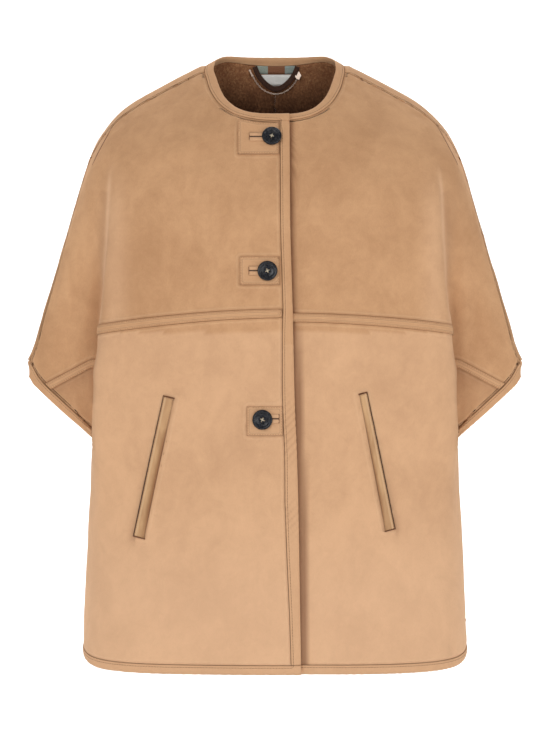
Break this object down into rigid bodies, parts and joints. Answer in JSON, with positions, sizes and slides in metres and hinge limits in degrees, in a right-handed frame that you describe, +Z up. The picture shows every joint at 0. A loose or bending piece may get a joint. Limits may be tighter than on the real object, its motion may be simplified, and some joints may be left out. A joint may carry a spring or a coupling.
{
  "type": "wool cape coat",
  "caption": "Hip-length cape coat with batwing half sleeves, round collarless neck, lapped button front, taped chest seam, slanted welt pockets and bound edges, filled out as worn.",
  "frame": {"origin": "Between the wearer's shoulders, at the base of the neck, on the symmetry plane.", "axes": "+Z up the wearer's body, -Y out of the front with the buttons, +X to the wearer's left"},
  "size_m": [0.645, 0.2869, 0.7911],
  "materials": {
    "suede": "napped suede-look face, brown wool pile inside",
    "suede_edge": "the same face cut on the bias and stitched",
    "welt": "smooth, slightly shiny",
    "horn": "marbled dark horn look, polished",
    "label": "plain woven satin",
    "ribbon": "woven ribbon in three blocks of colour",
    "loop": "flat woven cord",
    "metal": "polished pale rose-gold plating"
  },
  "bodies": {
    "root": {"back_chest_tape": "suede_edge", "bottom_button": "horn", "bottom_patch": "suede_edge", "chain": "metal", "chain_bar": "metal", "chain_star": "metal", "hanging_loop": "loop", "hem_binding": "suede_edge", "label": "label", "left_back_skirt": "suede", "left_back_yoke": "suede", "left_chest_tape": "suede_edge", "left_cuff_binding": "suede_edge", "left_front_binding": "suede_edge", "left_front_skirt": "suede", "left_front_yoke": "suede", "left_pocket_welt": "welt", "middle_button": "horn", "middle_patch": "suede_edge", "neck_binding": "suede_edge", "ribbon": "ribbon", "right_back_skirt": "suede", "right_back_yoke": "suede", "right_chest_tape": "suede_edge", "right_cuff_binding": "suede_edge", "right_front_binding": "suede_edge", "right_front_skirt": "suede", "right_front_yoke": "suede", "right_pocket_welt": "welt", "top_button": "horn", "top_patch": "suede_edge"}
  },
  "joints": []
}
